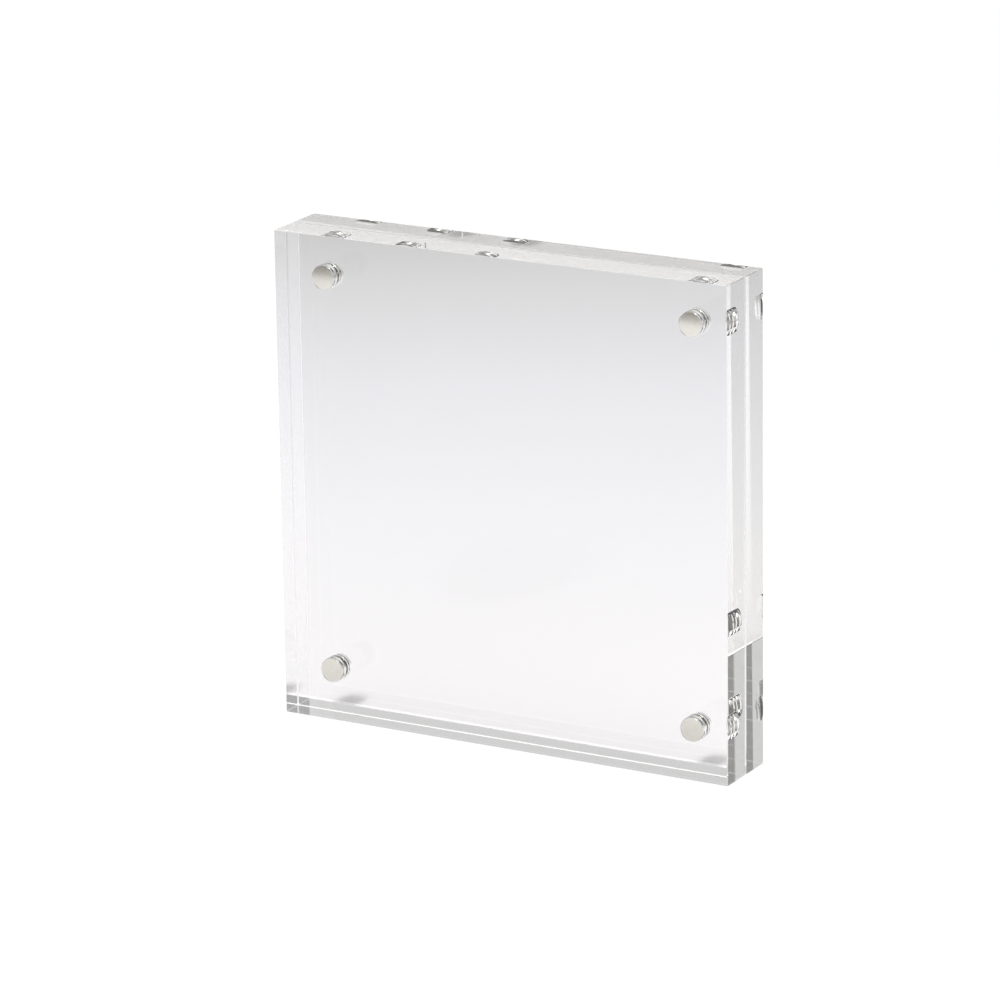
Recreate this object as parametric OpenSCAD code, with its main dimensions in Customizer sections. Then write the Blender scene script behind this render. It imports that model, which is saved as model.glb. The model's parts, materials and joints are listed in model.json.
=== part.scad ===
// Clear acrylic block frame: two square blocks that hold a print flat between them.
// Disc magnets sunk into the mating faces, one pair near each corner, pull the blocks together.
// Origin: middle of the footprint, on the surface that the frame stands on.
// +Z is up, the front faces -Y, and left and right are as seen from the front.

/* [Blocks] */
// Width of both blocks
block_w = 127; // [80:1:254]
// Height of both blocks
block_h = 127; // [80:1:254]
// Thickness of the front block
front_t = 9.4; // [6:0.1:20]
// Thickness of the rear block
rear_t = 9.4; // [6:0.1:20]
// Polished flat along every edge of a block, measured on the faces beside it
edge_chamfer = 0.2; // [0.1:0.05:1.5]

/* [Magnets] */
// Diameter of a disc magnet
magnet_d = 6.35; // [4:0.05:10]
// Thickness of a disc magnet
magnet_t = 3.175; // [2:0.025:5]
// Radius of a magnet's rounded rims
magnet_rim_r = 0.3; // [0.1:0.05:0.5]
// From a side of the block to the centre of the nearest magnets
magnet_inset_x = 11.8; // [8:0.1:25]
// From the top or the bottom of the block to the centre of the nearest magnets
magnet_inset_z = 11.8; // [8:0.1:25]

/* [Fits] */
// Gap between the mating faces, which a print on its card fills
print_gap = 0.7; // [0.1:0.1:2]
// Space between a magnet and the wall of its pocket
pocket_clearance = 0.1; // [0.05:0.05:0.5]
// Depth of a magnet's outer face below the mating face
magnet_recess = 0.1; // [0.05:0.05:0.8]

/* [Hidden] */

// Places along Y, from the front face to the rear face
frame_t = front_t + print_gap + rear_t;
front_face_y = -frame_t / 2;
front_mating_y = front_face_y + front_t;
rear_mating_y = front_mating_y + print_gap;

// Columns and rows of magnets
left = -(block_w / 2 - magnet_inset_x);
right = block_w / 2 - magnet_inset_x;
bottom = magnet_inset_z;
top = block_h - magnet_inset_z;

pocket_r = magnet_d / 2 + pocket_clearance;
pocket_depth = magnet_t + magnet_recess;
// How far a pocket's cutter stands out of the mating face
cut_past = 1;

acrylic = [0.93, 0.95, 0.96, 0.4];
nickel = [0.80, 0.78, 0.74];

round_faces = 96;
rim_faces = 32;

// Rectangle about the origin with its corners cut at 45 degrees
module cut_corner_rectangle(w, h) {
    c = edge_chamfer;
    polygon([
        [-w / 2 + c, -h / 2], [w / 2 - c, -h / 2], [w / 2, -h / 2 + c], [w / 2, h / 2 - c],
        [w / 2 - c, h / 2], [-w / 2 + c, h / 2], [-w / 2, h / 2 - c], [-w / 2, -h / 2 + c],
    ]);
}

// Block of thickness t about the origin, with a flat along each of its twelve edges
module chamfered_block(t) {
    intersection() {
        linear_extrude(height = block_h, center = true) cut_corner_rectangle(block_w, t);
        rotate([90, 0, 0]) linear_extrude(height = t, center = true) cut_corner_rectangle(block_w, block_h);
        rotate([90, 0, 90]) linear_extrude(height = block_w, center = true) cut_corner_rectangle(t, block_h);
    }
}

// Disc magnet that stands on the origin, along +Z
module disc_magnet() {
    r = magnet_d / 2;
    rotate_extrude($fn = round_faces) {
        square([r - magnet_rim_r, magnet_t]);
        translate([0, magnet_rim_r]) square([r, magnet_t - 2 * magnet_rim_r]);
        for (z = [magnet_rim_r, magnet_t - magnet_rim_r])
            translate([r - magnet_rim_r, z]) intersection() {
                circle(r = magnet_rim_r, $fn = rim_faces);
                translate([0, -magnet_rim_r]) square([magnet_rim_r, 2 * magnet_rim_r]);
            }
    }
}

// Cutter for a pocket whose floor is at the origin, open along +Z
module pocket_cutter() {
    cylinder(r = pocket_r, h = pocket_depth + cut_past, $fn = round_faces);
}

// Puts what opens along +Z at the floor of a pocket of the front block, open to the rear
module in_front_pocket(x, z) {
    translate([x, front_mating_y - pocket_depth, z]) rotate([-90, 0, 0]) children();
}

// Puts what opens along +Z at the floor of a pocket of the rear block, open to the front
module in_rear_pocket(x, z) {
    translate([x, rear_mating_y + pocket_depth, z]) rotate([90, 0, 0]) children();
}

module front_block() {
    color(acrylic) difference() {
        translate([0, front_face_y + front_t / 2, block_h / 2]) chamfered_block(front_t);
        for (x = [left, right], z = [bottom, top]) in_front_pocket(x, z) pocket_cutter();
    }
}

module rear_block() {
    color(acrylic) difference() {
        translate([0, rear_mating_y + rear_t / 2, block_h / 2]) chamfered_block(rear_t);
        for (x = [left, right], z = [bottom, top]) in_rear_pocket(x, z) pocket_cutter();
    }
}

module front_magnet(x, z) {
    color(nickel) in_front_pocket(x, z) disc_magnet();
}

module rear_magnet(x, z) {
    color(nickel) in_rear_pocket(x, z) disc_magnet();
}

front_block();
rear_block();
front_magnet(left, top);  // front_magnet_top_left
front_magnet(right, top);  // front_magnet_top_right
front_magnet(left, bottom);  // front_magnet_bottom_left
front_magnet(right, bottom);  // front_magnet_bottom_right
rear_magnet(left, top);  // rear_magnet_top_left
rear_magnet(right, top);  // rear_magnet_top_right
rear_magnet(left, bottom);  // rear_magnet_bottom_left
rear_magnet(right, bottom);  // rear_magnet_bottom_right
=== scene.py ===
"""Clear acrylic block frame, held together by pairs of disc magnets, on a plain white studio floor."""
import json
import math

import bmesh
import bpy
from mathutils import Matrix, Vector

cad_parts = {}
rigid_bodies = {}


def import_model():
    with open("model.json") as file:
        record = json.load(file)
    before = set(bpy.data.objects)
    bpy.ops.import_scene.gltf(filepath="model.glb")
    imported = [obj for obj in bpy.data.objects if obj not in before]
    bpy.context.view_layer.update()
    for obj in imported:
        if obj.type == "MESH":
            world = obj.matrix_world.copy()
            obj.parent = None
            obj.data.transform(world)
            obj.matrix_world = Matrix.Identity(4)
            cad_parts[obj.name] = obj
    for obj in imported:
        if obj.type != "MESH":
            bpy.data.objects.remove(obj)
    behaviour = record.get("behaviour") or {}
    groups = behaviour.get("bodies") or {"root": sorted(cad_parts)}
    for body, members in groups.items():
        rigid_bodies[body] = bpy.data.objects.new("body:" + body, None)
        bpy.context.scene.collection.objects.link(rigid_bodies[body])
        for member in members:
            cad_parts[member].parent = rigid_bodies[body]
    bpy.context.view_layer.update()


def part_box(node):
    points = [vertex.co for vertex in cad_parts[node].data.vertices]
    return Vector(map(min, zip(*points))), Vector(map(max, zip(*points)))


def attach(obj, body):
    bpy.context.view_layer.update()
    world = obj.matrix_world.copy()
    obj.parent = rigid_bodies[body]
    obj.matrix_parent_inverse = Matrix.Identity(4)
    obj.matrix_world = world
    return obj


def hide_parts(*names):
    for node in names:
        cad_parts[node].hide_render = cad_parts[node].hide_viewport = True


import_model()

MM = 0.001
WHITE = (1.0, 1.0, 1.0, 1.0)

# Places and sizes read from the frame
FRONT_LOW, FRONT_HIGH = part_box("front_block")
REAR_LOW, REAR_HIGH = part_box("rear_block")
CORNERS = ("top_left", "top_right", "bottom_left", "bottom_right")

# Middle of a pocket, from the middle of the blocks, and the radius of its magnet
SEAT_LOW, SEAT_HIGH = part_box("front_magnet_top_right")
MIDDLE_Z = (FRONT_LOW.z + FRONT_HIGH.z) / 2
POCKET_X = (SEAT_LOW.x + SEAT_HIGH.x) / 2
POCKET_Z = (SEAT_LOW.z + SEAT_HIGH.z) / 2 - MIDDLE_Z
SEAT_RADIUS = (SEAT_HIGH.x - SEAT_LOW.x) / 2

# Sizes that the frame's boxes don't give
EDGE_FLAT = 0.06 * MM
UPRIGHT_FLAT = 0.2 * MM
POCKET_CLEARANCE = 0.03 * MM
MAGNET_RECESS = 0.1 * MM
POCKET_FILLET = 0.06 * MM
POCKET_LEAD_IN = 0.06 * MM
MAGNET_RIM = 0.15 * MM
GLUE_FILM = 0.02 * MM

# Sides of a round piece, slack in comparing places, and how far a cutter stands out of what it cuts
ROUND = 128
NEAR = 0.01 * MM
CUT_PAST = 1 * MM


# Node helpers

def new_material(name):
    mat = bpy.data.materials.new(name)
    mat.use_nodes = True
    mat.node_tree.nodes.clear()
    return mat, mat.node_tree


def node(tree, kind, **inputs):
    """Adds a shader node; _name is a property, in0, in1 and so on are inputs by number, others by name."""
    made = tree.nodes.new(kind)
    for key, value in inputs.items():
        if key.startswith("_"):
            setattr(made, key[1:], value)
    for key, value in inputs.items():
        if key.startswith("_"):
            continue
        numbered = key.startswith("in") and key[2:].isdigit()
        socket = made.inputs[int(key[2:]) if numbered else key]
        if isinstance(value, bpy.types.NodeSocket):
            tree.links.new(value, socket)
        else:
            socket.default_value = value
    return made


def math_node(tree, operation, a, b=0.0, c=0.0):
    return node(tree, "ShaderNodeMath", _operation=operation, in0=a, in1=b, in2=c).outputs[0]


def mixed(tree, factor, first, second):
    return node(tree, "ShaderNodeMixShader", in0=factor, in1=first, in2=second).outputs[0]


def axes(tree, vector):
    return node(tree, "ShaderNodeSeparateXYZ", in0=vector).outputs


def ranged(tree, value, start, end, first, last, curve="LINEAR"):
    """Runs from first to last as the value goes from start to end, and stays there beyond."""
    limits = {"From Min": start, "From Max": end, "To Min": first, "To Max": last}
    made = node(tree, "ShaderNodeMapRange", _interpolation_type=curve, Value=value, **limits)
    return made.outputs["Result"]


def ramped(tree, value, stops):
    """Colour that passes through the stops, which are pairs of a value and a colour."""
    ramp = node(tree, "ShaderNodeValToRGB", Fac=value)
    for i, (at, colour) in enumerate(stops):
        stop = ramp.color_ramp.elements[i] if i < 2 else ramp.color_ramp.elements.new(at)
        stop.position, stop.color = at, (*colour, 1.0)
    return ramp.outputs["Color"]


def noise(tree, place, scale, detail=1.0, roughness=0.5):
    made = node(tree, "ShaderNodeTexNoise", Vector=place, Scale=scale, Detail=detail, Roughness=roughness)
    return made.outputs["Fac"]


def bumped(tree, height, size, normal=None, strength=1.0):
    """Bump of the given size in metres from a height between 0 and 1, laid over another bump's normal."""
    bump = node(tree, "ShaderNodeBump", Height=height, Strength=strength, Distance=size)
    if normal:
        tree.links.new(normal, bump.inputs["Normal"])
    return bump.outputs["Normal"]


# Clear acrylic

ACRYLIC_IOR = 1.49
BLOCK_NAME = "_block_clear"
# Face attribute: 1 on what the drill cut, 0 on polished faces
DRILLED = "drilled"
# Light lost in the thickness: what the colour lacks of white, times this per metre
TINT = (0.98, 0.985, 0.93, 1.0)
TINT_PER_M = 2.5
# Smudges on the polish: noise scale, noise levels where they start and are full, and their roughness
SMUDGE_SCALE = 35.0
SMUDGE_LEVELS = (0.45, 0.75)
SMUDGE_ROUGH = 0.006
DRILLED_ROUGH = 0.02
# Slight waves of the faces
WAVE_SCALE = 18.0
WAVE_HEIGHT = 0.01 * MM
# Rings on the walls of the pockets
MARK_PITCH = 2.2 * MM
MARK_PHASE = math.pi / 2
MARK_HEIGHT = 0.2 * MM
# The rings reach this far inside the magnet's radius, which takes in the wall and the fillet at its foot
WALL_REACH = 0.1 * MM


def on_wall(tree, place, drilled):
    """1 on the walls of the pockets, 0 on their floors and elsewhere."""
    axis = axes(tree, place)
    across = math_node(tree, "SUBTRACT", math_node(tree, "ABSOLUTE", axis["X"]), POCKET_X)
    above = math_node(tree, "SUBTRACT", axis["Z"], MIDDLE_Z)
    above = math_node(tree, "SUBTRACT", math_node(tree, "ABSOLUTE", above), POCKET_Z)
    radial = node(tree, "ShaderNodeCombineXYZ", in0=across, in2=above).outputs[0]
    radius = node(tree, "ShaderNodeVectorMath", _operation="LENGTH", in0=radial).outputs["Value"]
    outside = math_node(tree, "GREATER_THAN", radius, SEAT_RADIUS - WALL_REACH)
    return math_node(tree, "MULTIPLY", outside, drilled)


def tool_marks(tree, place):
    """Height of the rings that a drill leaves round a pocket's wall."""
    turns = math_node(tree, "MULTIPLY_ADD", axes(tree, place)["Y"], 2 * math.pi / MARK_PITCH, MARK_PHASE)
    return math_node(tree, "MULTIPLY_ADD", math_node(tree, "SINE", turns), 0.5, 0.5)


def acrylic(name):
    """Clear cast acrylic: polished faces that are very slightly wavy, and satin walls where it is drilled."""
    mat, tree = new_material(name)
    place = node(tree, "ShaderNodeTexCoord").outputs["Object"]
    drilled = node(tree, "ShaderNodeAttribute", _attribute_name=DRILLED).outputs["Fac"]
    smudge = noise(tree, place, SMUDGE_SCALE, detail=3.0, roughness=0.6)
    polish = ranged(tree, smudge, *SMUDGE_LEVELS, 0.0, SMUDGE_ROUGH)
    rough = math_node(tree, "MULTIPLY_ADD", drilled, DRILLED_ROUGH, polish)
    waves = bumped(tree, noise(tree, place, WAVE_SCALE), WAVE_HEIGHT)
    marks = math_node(tree, "MULTIPLY", tool_marks(tree, place), on_wall(tree, place, drilled))
    normal = bumped(tree, marks, MARK_HEIGHT, waves)
    shader = node(
        tree, "ShaderNodeBsdfPrincipled", IOR=ACRYLIC_IOR, Roughness=rough, Normal=normal,
        **{"Base Color": WHITE, "Transmission Weight": 1.0},
    )
    tint = node(tree, "ShaderNodeVolumeAbsorption", Color=TINT, Density=TINT_PER_M)
    node(tree, "ShaderNodeOutputMaterial", Surface=shader.outputs[0], Volume=tint.outputs[0])
    return mat


# Nickel plating

# Clouds in the plating: noise scale, and the colours at noise levels 0 and 1
CLOUD_SCALE = 900.0
NICKEL_STOPS = ((0.0, (0.70, 0.685, 0.62)), (1.0, (0.77, 0.755, 0.69)))
# Roughness of the discs' flat faces, and the noise levels between which it runs
FACE_ROUGH = (0.10, 0.22)
CLOUD_LEVELS = (0.3, 0.7)
# Roughness of the discs' round sides, which are duller than their faces
SIDE_ROUGH = 0.5
# Fine grain of the plating
GRAIN_SCALE = 4000.0
GRAIN_HEIGHT = 0.01 * MM
GRAIN_STRENGTH = 0.25


def nickel(name):
    """Bright nickel plating, slightly cloudy on the flat faces and duller on the round sides."""
    mat, tree = new_material(name)
    place = node(tree, "ShaderNodeTexCoord").outputs["Object"]
    cloud = noise(tree, place, CLOUD_SCALE, detail=4.0, roughness=0.6)
    rough = ranged(tree, cloud, *CLOUD_LEVELS, *FACE_ROUGH)
    normal = node(tree, "ShaderNodeNewGeometry").outputs["Normal"]
    facing = math_node(tree, "ABSOLUTE", axes(tree, normal)["Y"])
    side = math_node(tree, "MULTIPLY_ADD", facing, -SIDE_ROUGH, SIDE_ROUGH)
    grain = noise(tree, place, GRAIN_SCALE, detail=2.0)
    shader = node(
        tree, "ShaderNodeBsdfPrincipled", Metallic=1.0, Roughness=math_node(tree, "MAXIMUM", rough, side),
        Normal=bumped(tree, grain, GRAIN_HEIGHT, strength=GRAIN_STRENGTH),
        **{"Base Color": ramped(tree, cloud, NICKEL_STOPS)},
    )
    node(tree, "ShaderNodeOutputMaterial", Surface=shader.outputs[0])
    return mat


ACRYLIC = acrylic("clear_cast_acrylic")
NICKEL = nickel("nickel_plating_fine")


# Meshes

# Faces that meet at less than the first angle are shaded as one, and edges above the second are still square
SMOOTH_BELOW = math.radians(30)
SQUARE_ABOVE = math.radians(80)


def mesh_object(name, bm, materials):
    mesh = bpy.data.meshes.new(name)
    bm.to_mesh(mesh)
    bm.free()
    for mat in materials:
        mesh.materials.append(mat)
    mesh.shade_smooth()
    mesh.set_sharp_from_angle(angle=SMOOTH_BELOW)
    made = bpy.data.objects.new(name, mesh)
    bpy.context.scene.collection.objects.link(made)
    return made


def arc(centre, radius, start, end, steps=6):
    """Points of an arc in the (radius, height) plane of a lathe, angles in degrees."""
    angles = [math.radians(start + (end - start) * i / steps) for i in range(steps + 1)]
    return [(centre[0] + radius * math.cos(a), centre[1] + radius * math.sin(a)) for a in angles]


def lathe(profile, out):
    """Closed solid of revolution about Y; profile runs from axis to axis as (radius, height) points.
    out is +1 where height runs along +Y, and -1 where it runs along -Y."""
    bm = bmesh.new()
    turn = [2 * math.pi * i / ROUND for i in range(ROUND)]
    rings = []
    for r, h in profile:
        if r == 0:
            rings.append([bm.verts.new((0.0, out * h, 0.0))])
        else:
            rings.append([bm.verts.new((r * math.cos(a), out * h, r * math.sin(a))) for a in turn])
    for a, b in zip(rings, rings[1:]):
        for i in range(ROUND):
            j = (i + 1) % ROUND
            if len(a) == 1:
                bm.faces.new((a[0], b[i], b[j]))
            elif len(b) == 1:
                bm.faces.new((a[i], b[0], a[j]))
            else:
                bm.faces.new((a[i], b[i], b[j], a[j]))
    bmesh.ops.recalc_face_normals(bm, faces=bm.faces)
    return bm


def pocket_profile(radius, depth):
    """Cutter for a magnet's pocket: flat floor with a small fillet, and a lead-in at the mouth."""
    mouth = radius + POCKET_LEAD_IN
    return (
        [(0.0, 0.0)]
        + arc((radius - POCKET_FILLET, POCKET_FILLET), POCKET_FILLET, -90, 0)
        + [(radius, depth - POCKET_LEAD_IN), (mouth, depth), (mouth, depth + CUT_PAST)]
        + [(0.0, depth + CUT_PAST)]
    )


def magnet_profile(radius, thickness):
    """Disc with both rims rounded."""
    return (
        [(0.0, 0.0)]
        + arc((radius - MAGNET_RIM, MAGNET_RIM), MAGNET_RIM, -90, 0)
        + arc((radius - MAGNET_RIM, thickness - MAGNET_RIM), MAGNET_RIM, 0, 90)
        + [(0.0, thickness)]
    )


def magnet_facts(side, corner):
    """Middle of a magnet's seat, which way its pocket opens along Y, and its radius and thickness."""
    low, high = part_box(f"{side}_magnet_{corner}")
    opens = 1 if side == "front" else -1
    seat = Vector(((low.x + high.x) / 2, low.y if opens > 0 else high.y, (low.z + high.z) / 2))
    return seat, opens, (high.x - low.x) / 2, high.y - low.y


def flatted_box(low, high, outer_y):
    """Box with a fine flat along each edge, and a wider one along the upright edges of its outer face."""
    bm = bmesh.new()
    bmesh.ops.create_cube(bm, size=1.0)
    place = Matrix.Translation((high + low) / 2) @ Matrix.Diagonal((*(high - low), 1.0))
    bmesh.ops.transform(bm, matrix=place, verts=bm.verts)
    outer = [
        e for e in bm.edges
        if all(abs(v.co.y - outer_y) < NEAR for v in e.verts)
        and abs(e.verts[0].co.x - e.verts[1].co.x) < NEAR
    ]
    bmesh.ops.bevel(bm, geom=outer, offset=UPRIGHT_FLAT, segments=1, affect="EDGES")
    square = [e for e in bm.edges if e.calc_face_angle() > SQUARE_ABOVE]
    bmesh.ops.bevel(bm, geom=square, offset=EDGE_FLAT, segments=1, affect="EDGES")
    return bm


def drill(block, seat, opens, radius, depth):
    """Cuts one pocket out of the block's mesh."""
    cutter = mesh_object("cutter", lathe(pocket_profile(radius, depth), opens), [])
    cutter.location = seat
    cut = block.modifiers.new("pocket", "BOOLEAN")
    cut.object, cut.operation, cut.solver = cutter, "DIFFERENCE", "EXACT"
    bpy.context.view_layer.update()
    done = bpy.data.meshes.new_from_object(block.evaluated_get(bpy.context.evaluated_depsgraph_get()))
    block.modifiers.clear()
    block.data = done
    bpy.data.objects.remove(cutter)


def mark_drilled(block, low, high, pockets):
    """Marks the faces of the pockets and makes them alone smooth; pockets are pairs of seat and radius."""
    middle, half = (high.y + low.y) / 2, (high.y - low.y) / 2
    cut = block.data.attributes.new(DRILLED, "FLOAT", "FACE")
    for face in block.data.polygons:
        inside = abs(face.center.y - middle) < half - NEAR
        for seat, radius in pockets:
            away = face.center - seat
            if inside and math.hypot(away.x, away.z) < radius + POCKET_LEAD_IN + NEAR:
                cut.data[face.index].value = 1.0
        face.use_smooth = cut.data[face.index].value > 0.5
    block.data.set_sharp_from_angle(angle=SMOOTH_BELOW)


def build_block(side, low, high):
    """Block with polished flats along its edges and four pockets drilled from its mating face."""
    bm = flatted_box(low, high, low.y if side == "front" else high.y)
    block = mesh_object(side + BLOCK_NAME, bm, [ACRYLIC])
    pockets = []
    for corner in CORNERS:
        seat, opens, radius, thickness = magnet_facts(side, corner)
        bore = radius + POCKET_CLEARANCE
        drill(block, seat, opens, bore, thickness + MAGNET_RECESS)
        pockets.append((seat, bore))
    mark_drilled(block, low, high, pockets)
    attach(block, side)
    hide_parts(f"{side}_block")


def build_magnet(side, corner):
    """Plated disc with rounded rims, a glue film clear of its pocket's floor."""
    seat, opens, radius, thickness = magnet_facts(side, corner)
    bm = lathe(magnet_profile(radius, thickness - GLUE_FILM), opens)
    disc = mesh_object(f"{side}_disc_{corner}", bm, [NICKEL])
    disc.data.transform(Matrix.Translation(seat + Vector((0.0, opens * GLUE_FILM, 0.0))))
    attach(disc, side)
    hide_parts(f"{side}_magnet_{corner}")


for side, low, high in (("front", FRONT_LOW, FRONT_HIGH), ("rear", REAR_LOW, REAR_HIGH)):
    build_block(side, low, high)
    for corner in CORNERS:
        build_magnet(side, corner)


# Floor

FLOOR_RADIUS = 4.0
FLOOR_SIDES = 96
# Space under the blocks, so that no two surfaces lie in one plane
FLOOR_DROP = 0.05 * MM
# Floor for the camera: share that is plain white whatever falls on it, its strength, and the rest's colour
WHITE_SHARE = 0.85
WHITE_STRENGTH = 1.08
WHITE_REST = (0.9, 0.9, 0.9, 1.0)
# Floor in the acrylic and the metal: (distance in m, colour), painted light and shade, pale near the object
# and greyer further off as the light falls off
PAINTED_FLOOR_SHADE = (
    (0.0, (0.95, 0.93, 0.935)), (0.20, (0.93, 0.92, 0.94)), (0.34, (0.88, 0.87, 0.90)),
    (0.46, (0.80, 0.80, 0.81)), (0.60, (0.66, 0.64, 0.63)),
)
# Painted shade towards the lamp, which holds down the lamp's brighter light on the floor: Y in m and share of
# the colour, each far and near
SHADE_TOWARDS_LAMP_Y = (-0.55, -0.30)
SHADE_TOWARDS_LAMP_SHARE = (0.68, 1.0)
# Share of that floor which shows its colour whatever falls on it, as painted light that glows
PAINTED_FLOOR_GLOW = 0.1
# Painted light beside the blocks, the floor glowing: how far it reaches in m, and its strength in the middle
PAINTED_LIGHT_REACH = 0.20
PAINTED_LIGHT_BESIDE = 0.03
# Painted light under the blocks, the floor glowing: (share of the way from the front face to the rear face,
# strength)
PAINTED_LIGHT_UNDER = ((0.0, 0.55), (0.53, 0.50), (0.60, 0.22), (1.0, 0.20))
# A ray this short has just left the underside of a block
TOUCHING = 2.0 * MM


def painted_light_under(tree, place, length):
    """Painted light: the floor glows where a block stands on it, wherever the block has moved to."""
    share = ranged(tree, axes(tree, place)["Y"], FRONT_LOW.y, REAR_HIGH.y, 0.0, 1.0)
    level = ramped(tree, share, [(at, (strength,) * 3) for at, strength in PAINTED_LIGHT_UNDER])
    return math_node(tree, "MULTIPLY", level, math_node(tree, "LESS_THAN", length, TOUCHING))


def seen_in_object(tree, path, place):
    """Floor for rays in the acrylic and on the metal, with painted light and shade: lighter near the object
    and greyer with distance and towards the lamp, partly glowing, and glowing beside and under the blocks.
    """
    distance = node(tree, "ShaderNodeVectorMath", _operation="LENGTH", in0=place).outputs["Value"]
    # Painted shade towards the lamp, and painted light and shade that greys the floor with distance
    share = ranged(tree, axes(tree, place)["Y"], *SHADE_TOWARDS_LAMP_Y, *SHADE_TOWARDS_LAMP_SHARE)
    colour = ramped(tree, distance, PAINTED_FLOOR_SHADE)
    pale = node(tree, "ShaderNodeVectorMath", _operation="SCALE", in0=colour, Scale=share).outputs[0]
    lit = node(tree, "ShaderNodeBsdfDiffuse", Color=pale).outputs[0]
    plain = node(tree, "ShaderNodeEmission", Color=pale, Strength=1.0).outputs[0]
    # Painted light: the floor glows beside the blocks and under them
    beside = ranged(tree, distance, 0.0, PAINTED_LIGHT_REACH, PAINTED_LIGHT_BESIDE, 0.0)
    strength = math_node(tree, "ADD", painted_light_under(tree, place, path["Ray Length"]), beside)
    painted_glow = node(tree, "ShaderNodeEmission", Color=pale, Strength=strength).outputs[0]
    return node(tree, "ShaderNodeAddShader", in0=mixed(tree, PAINTED_FLOOR_GLOW, lit, plain), in1=painted_glow).outputs[0]


def seen_by_camera(tree):
    """White floor with a faint shadow."""
    lit = node(tree, "ShaderNodeBsdfDiffuse", Color=WHITE_REST).outputs[0]
    plain = node(tree, "ShaderNodeEmission", Color=WHITE, Strength=WHITE_STRENGTH).outputs[0]
    return mixed(tree, WHITE_SHARE, lit, plain)


def floor_material():
    mat, tree = new_material("studio_floor")
    path = node(tree, "ShaderNodeLightPath").outputs
    place = node(tree, "ShaderNodeNewGeometry").outputs["Position"]
    surface = mixed(tree, path["Is Camera Ray"], seen_in_object(tree, path, place), seen_by_camera(tree))
    node(tree, "ShaderNodeOutputMaterial", Surface=surface)
    return mat


def build_floor():
    bm = bmesh.new()
    bmesh.ops.create_circle(bm, cap_ends=True, segments=FLOOR_SIDES, radius=FLOOR_RADIUS)
    floor = mesh_object("floor", bm, [floor_material()])
    floor.location.z = FRONT_LOW.z - FLOOR_DROP


# World

# Brightness low down and above: a plain part, and what the ray's X and Y add to it
LOW_PLAIN, LOW_X, LOW_Y = 0.31, -0.35, 0.237
HIGH_PLAIN, HIGH_Y = 0.58, 0.40
# Low down it is never darker than this
LOW_LEAST = 0.15
# Z of the ray between which low down turns into above
HORIZON = (0.335, 0.45)
# X - Y of the ray between which the studio turns white, at its front right
FRONT_RIGHT = (0.75, 1.15)


def build_world():
    """White for the camera; in acrylic and metal, a studio that is dim low down and bright above."""
    world = bpy.data.worlds.new("studio")
    bpy.context.scene.world = world
    world.use_nodes = True
    tree = world.node_tree
    tree.nodes.clear()
    path = node(tree, "ShaderNodeLightPath").outputs
    axis = axes(tree, node(tree, "ShaderNodeTexCoord").outputs["Generated"])
    low = math_node(tree, "MULTIPLY_ADD", axis["X"], LOW_X, LOW_PLAIN)
    low = math_node(tree, "MULTIPLY_ADD", axis["Y"], LOW_Y, low)
    low = math_node(tree, "MAXIMUM", low, LOW_LEAST)
    high = math_node(tree, "MULTIPLY_ADD", axis["Y"], HIGH_Y, HIGH_PLAIN)
    to_front_right = math_node(tree, "SUBTRACT", axis["X"], axis["Y"])
    white_part = ranged(tree, to_front_right, *FRONT_RIGHT, 0.0, 1.0, "SMOOTHSTEP")
    low = math_node(tree, "MAXIMUM", low, white_part)
    high = math_node(tree, "MAXIMUM", high, white_part)
    level = ranged(tree, axis["Z"], *HORIZON, low, high, "SMOOTHSTEP")
    grey = node(tree, "ShaderNodeCombineColor", in0=level, in1=level, in2=level).outputs[0]
    studio = node(tree, "ShaderNodeBackground", Color=grey).outputs[0]
    white = node(tree, "ShaderNodeBackground", Color=WHITE).outputs[0]
    node(tree, "ShaderNodeOutputWorld", Surface=mixed(tree, path["Is Camera Ray"], studio, white))


# Lamp

KEY_PLACE = Vector((0.06, -0.76, 0.80))
KEY_SIZE = 0.22
KEY_POWER = 8.0


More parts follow.
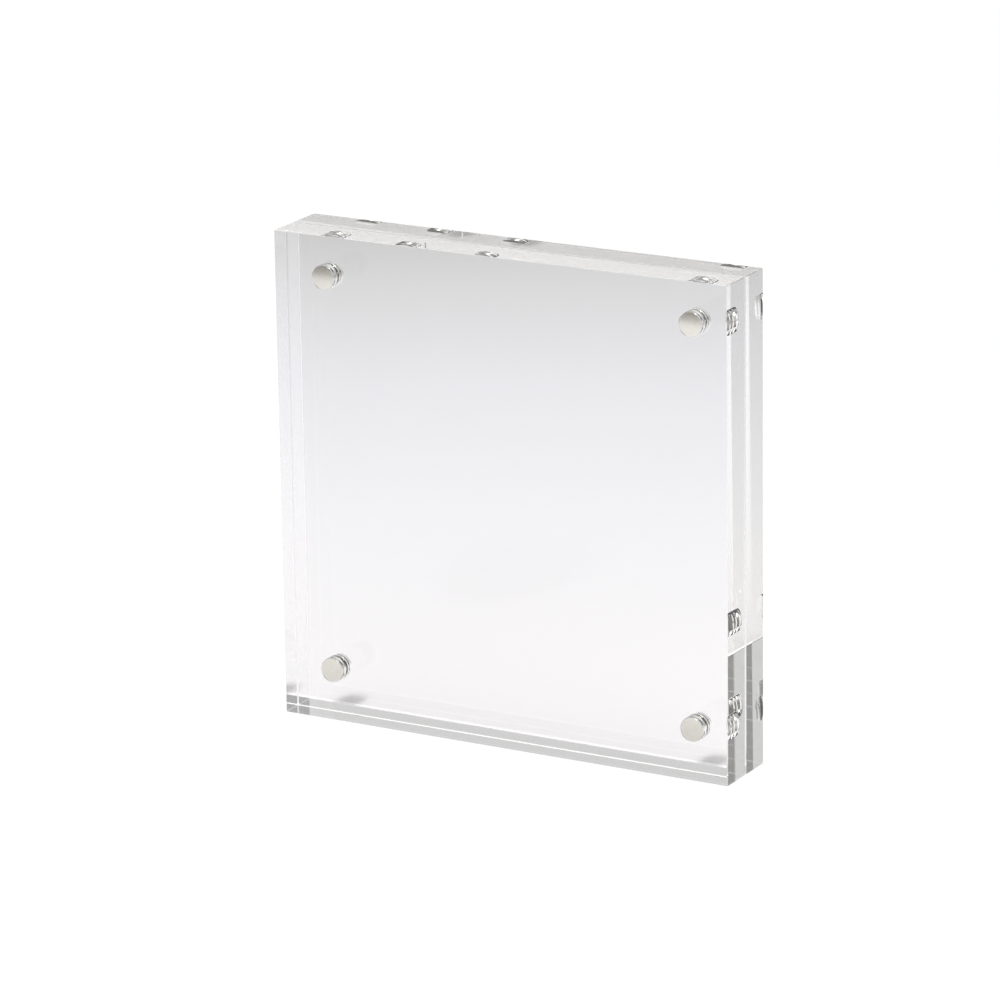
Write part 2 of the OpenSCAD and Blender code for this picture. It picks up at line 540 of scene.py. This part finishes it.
def build_key():
    """Small soft lamp in front of the object and above it."""
    data = bpy.data.lights.new("key", "AREA")
    data.shape, data.size, data.energy = "DISK", KEY_SIZE, KEY_POWER
    lamp = bpy.data.objects.new("key", data)
    bpy.context.scene.collection.objects.link(lamp)
    lamp.location = KEY_PLACE
    lamp.rotation_euler = KEY_PLACE.to_track_quat("Z", "Y").to_euler()
    # It lights the discs and the floor through the blocks, which don't focus it
    lit = bpy.data.collections.new("lit_by_key")
    for item in bpy.context.scene.collection.all_objects:
        if item.type == "MESH" and not item.name.endswith(BLOCK_NAME):
            lit.objects.link(item)
    lamp.light_linking.receiver_collection = lit
    lamp.light_linking.blocker_collection = lit


build_floor()
build_world()
build_key()


# Camera

FOCAL_PX = 5694.0
PICTURE_PX = 1000.0
SENSOR_MM = 36.0
CLIP = (0.05, 20.0)
CAMERA_FROM_FRONT = Vector((666.1, -1177.2, 468.1)) * MM
YAW, PITCH, ROLL = (math.radians(a) for a in (29.49, 16.594, -0.826))


def build_camera():
    data = bpy.data.cameras.new("camera")
    data.sensor_width = SENSOR_MM
    data.lens = FOCAL_PX / PICTURE_PX * SENSOR_MM
    data.clip_start, data.clip_end = CLIP
    camera = bpy.data.objects.new("camera", data)
    bpy.context.scene.collection.objects.link(camera)
    forward = Vector((-math.sin(YAW) * math.cos(PITCH), math.cos(YAW) * math.cos(PITCH), -math.sin(PITCH)))
    level = Vector((math.cos(YAW), math.sin(YAW), 0.0))
    upright = level.cross(forward)
    right = level * math.cos(ROLL) + upright * math.sin(ROLL)
    up = right.cross(forward)
    place = Matrix((right, up, -forward)).transposed().to_4x4()
    place.translation = CAMERA_FROM_FRONT + Vector((0.0, FRONT_LOW.y, 0.0))
    camera.matrix_world = place
    bpy.context.scene.camera = camera


build_camera()

scene = bpy.context.scene
scene.view_settings.view_transform = "Standard"
# Light runs along a block by many mirror bounces before it leaves
scene.cycles.max_bounces = 40
scene.cycles.transmission_bounces = 40
scene.cycles.glossy_bounces = 12
scene.cycles.transparent_max_bounces = 24
scene.cycles.caustics_reflective = False
